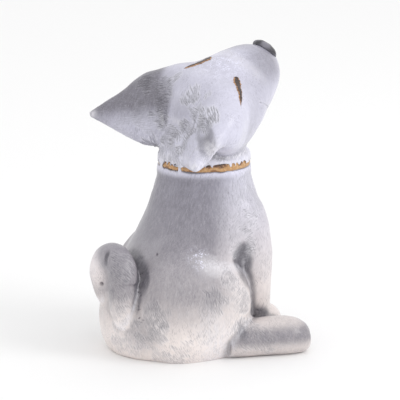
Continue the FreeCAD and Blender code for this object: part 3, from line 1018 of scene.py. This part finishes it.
def glaze(name):
    """Grey glaze over a pale body: thick and lavender on top, thin and cream low down, with painted
    shade in the crevices and painted highlights on the burrs and the haunch tops.
    """
    n = Nodes(name)
    mottle = n.noise(6.5, 5, 0.65)
    streak = n.noise(0.9, 3, 0.6, (1, 1, 4))
    grain = n.noise(0.35, 2, 0.6)
    grey = n.sum("ADD", n.value("grey_and_shade"), n.span(mottle, 0.25, 0.75, -0.05, 0.05))
    grey = n.sum("ADD", grey, n.span(streak, 0.25, 0.75, -0.05, 0.05), clamp=True)
    pale = n.blend(n.value("cool"), linear(238, 228, 224), linear(216, 215, 232))
    colour = n.blend(grey, pale, linear(112, 109, 119))
    # painted shade in the crevices, mottled a little
    crease_shade = n.sum("MULTIPLY", n.span(n.value("crease_shade"), 0.10, 0.6), n.span(mottle, 0.3, 0.6, 0.6, 0.9))
    colour = n.blend(crease_shade, colour, linear(92, 90, 98))
    thin = n.sum("MULTIPLY", n.span(n.value("ridge"), 0.3, 0.9), n.span(streak, 0.3, 0.7, 0.2, 0.6))
    colour = n.blend(thin, colour, linear(238, 236, 242))
    # painted highlight on the burrs beside the cuts, weaker where the glaze is grey
    burr_glint = n.sum("MULTIPLY", n.value("burr_and_highlight"), n.span(n.value("grey_and_shade"), 0.1, 0.9, 0.5, 0.12))
    colour = n.blend(burr_glint, colour, linear(240, 240, 246))
    for turn, share in (((0.0, 0.35, 0.0), 0.30), ((0.0, -0.55, 0.3), 0.24)):
        hair = n.hair(0.22, 3.4, turn)
        shown = n.span(n.noise(5.0 + 3 * share, 2), 0.40, 0.6, 0.2 * share, share)
        dark = n.sum("MULTIPLY", n.span(hair, 0.42, 0.16), shown)
        colour = n.blend(dark, colour, linear(92, 89, 98))
        pale_hair = n.hair(0.26, 3.9, turn)
        light = n.sum("MULTIPLY", n.span(pale_hair, 0.40, 0.16), n.value("fur"))
        colour = n.blend(n.sum("MULTIPLY", light, share), colour, linear(236, 234, 242))
    colour = n.blend(n.sum("MULTIPLY", n.value("mark"), 0.8), colour, linear(70, 67, 78))
    speck = n.sum("MULTIPLY", n.span(n.dots(1.1), 0.16, 0.06), n.span(n.noise(9.0), 0.5, 0.75))
    colour = n.blend(n.sum("MULTIPLY", speck, 0.5), colour, linear(70, 66, 74))
    # pale specks: broken glaze on the crown and brow, painted highlights on the haunch tops
    fine, coarse = n.span(n.noise(0.5, 3, 0.7), 0.48, 0.58), n.span(n.noise(2.0, 2), 0.44, 0.58)
    specks = n.sum("MULTIPLY", n.sum("MULTIPLY", fine, coarse), n.value("specks_and_glints"))
    colour = n.blend(n.sum("MULTIPLY", specks, 0.75), colour, linear(232, 232, 250))
    normal = n.bump(grain, 0.03)
    normal = n.bump(streak, 0.05, normal)
    return n.finish(colour, n.span(grain, 0.3, 0.7, 0.36, 0.5), normal, 0.35)


def nose_glaze():
    n = Nodes("nose_glaze")
    grain = n.noise(0.6, 3, 0.6)
    colour = n.blend(n.span(n.noise(2.5, 3), 0.4, 0.6), linear(44, 42, 50), linear(88, 86, 96))
    # lighter near the top of the nose: painted sheen
    colour = n.blend(n.span(n.value("edge"), 0.45, 0.15), colour, linear(122, 120, 130))
    return n.finish(colour, n.span(grain, 0.3, 0.7, 0.3, 0.5), n.bump(grain, 0.06), 0.4)


def eye_slip():
    n = Nodes("eye_slip")
    rough = n.noise(0.7, 4, 0.7)
    edge = n.sum("ADD", n.value("edge"), n.span(rough, 0.3, 0.7, -0.25, 0.25))
    colour = n.blend(n.span(edge, 0.55, 0.95), linear(58, 42, 38), linear(186, 140, 96))
    return n.finish(colour, 0.45, n.bump(rough, 0.08), 0.2)


def collar_slip():
    n = Nodes("collar_slip")
    rough = n.noise(0.9, 4, 0.7)
    patchy = n.noise(3.2, 4, 0.65)
    top = n.sum("ADD", n.value("edge"), n.span(patchy, 0.3, 0.7, -0.35, 0.35))
    gold = n.blend(n.span(rough, 0.3, 0.7), linear(170, 122, 72), linear(206, 168, 124))
    colour = n.blend(n.span(top, 0.62, 0.85), gold, linear(104, 70, 50))
    colour = n.blend(n.span(top, 0.9, 1.05), colour, linear(52, 42, 40))
    colour = n.blend(n.span(top, 0.18, 0.02), colour, linear(140, 100, 66))
    return n.finish(colour, 0.5, n.bump(rough, 0.08), 0.15)


SLOT = {
    "torso": "grey_glaze", "head": "grey_glaze", "tail": "grey_glaze", "ear": "ear_glaze",
    "front_leg": "pale_glaze", "haunch": "pale_glaze", "hind_foot": "pale_glaze",
}
GLAZES = {slot: glaze(slot) for slot in sorted(set(SLOT.values()))}
VALUES = {
    "grey_and_shade": GREY_AND_SHADE, "crease_shade": CREASE_SHADE, "mark": MARK, "burr_and_highlight": BURR_HIGHLIGHT,
    "ridge": RIDGE, "specks_and_glints": SPECKS_AND_GLINTS, "cool": COOL, "fur": FUR,
}

for name in CLAY:
    slot = SLOT[name.split("_", 1)[1] if name.split("_")[0] in SIDES else name]
    piece = finished(f"clay_{name}", patch(name, VALUES), slot, GLAZES[slot])
    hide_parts(name)


def make_inlay(node, slot, material, voxel, grow, rough, size, edge):
    """A small piece with the shape of its CAD solid, and a value that says how near its edge is."""
    points, quads = inlay(node, voxel, grow, rough, size)
    lay_slip(node, slot, material, points, [quads], edge(points))


def lay_slip(node, slot, material, points, faces, edge):
    mesh = to_mesh(node, points * MM, faces)
    mesh.polygons.foreach_set("use_smooth", np.ones(len(mesh.polygons), bool))
    attribute = mesh.attributes.new("edge", "FLOAT", "POINT")
    attribute.data.foreach_set("value", np.asarray(edge, np.float32))
    piece = finished(f"slip_{node}", mesh, slot, material)
    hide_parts(node)


EYE_SUNK = 0.5  # an eye's underside lies that far below the skin
EYE_FILM = 0.05  # its slip is that thick at its edge
EYE_DOME = 0.30  # and that much thicker in its middle


def make_eye(side, start, end, half, material):
    """A slit of slip from its blunt upper end to its point, laid on the skin of the head."""
    rows, columns = 90, 22
    path = [mix(start, end, k / rows) for k in range(rows + 1)]
    _, middle, _ = TREE.find(mix(start, end, 0.5))
    facing = OUT[middle]
    beside = unit(np.cross(facing, end - start))
    top, under, edge = [], [], []
    for k, at in enumerate(path):
        share = k / rows
        wide = half * min(1, (share / 0.10) ** 0.5) * (1 - share ** 1.7) ** 0.8
        wide *= 1 + 0.14 * math.sin(23 * share + 4 * SIDES[side]) + 0.10 * math.sin(61 * share)
        for j in range(columns + 1):
            over = 2 * j / columns - 1
            spot_on = at + beside * over * max(wide, 0.02)
            for _ in range(4):
                found = TREE.find_n(spot_on, 5)
                weight = np.array([1 / (away + 0.05) for _, _, away in found])
                out = unit(sum(w * OUT[i] for w, (_, i, _) in zip(weight, found)))
                base = sum(w * SHAPED[i] for w, (_, i, _) in zip(weight, found)) / weight.sum()
                spot_on = spot_on + facing * ((base - spot_on) @ out) / max(facing @ out, 0.3)
            height = EYE_FILM + EYE_DOME * (1 - over * over) ** 0.5 * min(1, wide / 0.4)
            top.append(spot_on + out * height)
            under.append(spot_on - out * EYE_SUNK)
            edge.append(abs(over) + 0.25 * smooth(0.85, 1.0, share))
    grid = np.arange((rows + 1) * (columns + 1)).reshape(rows + 1, columns + 1)
    quads = np.stack([grid[:-1, :-1], grid[1:, :-1], grid[1:, 1:], grid[:-1, 1:]], axis=-1)
    quads = quads.reshape(-1, 4)
    rim = np.concatenate([grid[0, :-1], grid[:-1, -1], grid[-1, :0:-1], grid[:0:-1, 0]])
    count = grid.size
    walls = np.stack([rim, np.roll(rim, -1), np.roll(rim, -1) + count, rim + count], axis=1)
    points = np.array(top + under)
    faces = np.concatenate([quads, quads[:, ::-1] + count, walls[:, ::-1]])
    a, b, c = points[quads[len(quads) // 2][:3]]
    if np.cross(b - a, c - a) @ OUT[middle] < 0:
        faces = faces[:, ::-1]
    lay_slip(f"{side}_eye_inlay", "eye_slip", material, points, [faces], edge + edge)


def collar_edge(points):
    """0 at the collar's lower edge, 1 at its upper one."""
    low, high = box("collar")
    return (points[:, 2] - low[2]) / (high[2] - low[2])


def nose_sheen(points):
    """How far from the painted sheen on top of the nose, as a share of its reach."""
    sheen_centre, reach = spot("nose", 0.35, 0.15, 0.85), 6.0
    return np.linalg.norm(points - sheen_centre, axis=1) / reach


SLIP_OUT = -GROOVE_IN - SLIP_IN
make_inlay("collar", "collar_slip", collar_slip(), 0.3, SLIP_OUT, 0.12, 1.2, collar_edge)
make_inlay("nose", "nose_glaze", nose_glaze(), 0.25, 0.0, 0.12, 1.5, nose_sheen)
EYE = eye_slip()
make_eye("right", on_head(2.1, 2.5, 9.9, "right"), on_head(-9.6, 1.2, 19.0, "right"), 1.4, EYE)
make_eye("left", on_head(3.9, 3.0, 5.4), on_head(-6.6, 6.9, 7.4), 1.7, EYE)


# ---- stage: floor, light, camera ---------------------------------------------------------------
def make_floor():
    mesh = bpy.data.meshes.new("floor")
    half = 3.0
    corners = [(-half, -half, 0), (half, -half, 0), (half, half, 0), (-half, half, 0)]
    mesh.from_pydata(corners, [], [(0, 1, 2, 3)])
    material = bpy.data.materials.new("floor")
    material.use_nodes = True
    surface = material.node_tree.nodes["Principled BSDF"]
    surface.inputs["Base Color"].default_value = (0.93, 0.93, 0.93, 1)
    surface.inputs["Roughness"].default_value = 0.9
    mesh.materials.append(material)
    floor = bpy.data.objects.new("floor", mesh)
    bpy.context.scene.collection.objects.link(floor)


def make_light(name, place, aim, size, power):
    lamp = bpy.data.lights.new(name, "AREA")
    lamp.shape = "DISK"
    lamp.size = size
    lamp.energy = power
    obj = bpy.data.objects.new(name, lamp)
    obj.location = place
    obj.rotation_euler = (Vector(aim) - Vector(place)).to_track_quat("-Z", "Y").to_euler()
    bpy.context.scene.collection.objects.link(obj)


def make_camera():
    """Long lens, from the dog's right and a little behind, looking slightly down."""
    low, high = CAD_BOX
    middle = Vector((0, 0, (high.z - low.z) * 0.4845))
    azimuth, height = math.radians(-22), math.radians(13)
    distance, view, sensor = 0.70, 0.144, 36  # metres to the dog, metres across the view there
    camera = bpy.data.cameras.new("camera")
    camera.sensor_width = sensor
    camera.lens = sensor * distance / view
    camera.clip_start, camera.clip_end = 0.01, 20
    obj = bpy.data.objects.new("camera", camera)
    back = Vector((
        math.sin(azimuth) * math.cos(height),
        -math.cos(azimuth) * math.cos(height),
        math.sin(height),
    ))
    obj.location = middle + back * distance
    obj.rotation_euler = (-back).to_track_quat("-Z", "Y").to_euler()
    bpy.context.scene.collection.objects.link(obj)
    bpy.context.scene.camera = obj


def make_world():
    world = bpy.data.worlds.new("studio")
    world.use_nodes = True
    background = world.node_tree.nodes["Background"]
    background.inputs["Color"].default_value = (1, 1, 1, 1)
    background.inputs["Strength"].default_value = 1.0
    bpy.context.scene.world = world


make_floor()
make_light("key", (0.55, -0.60, 0.60), (0, 0, 0.05), 0.5, 2.4)
make_camera()
make_world()
bpy.context.scene.view_settings.view_transform = "Standard"
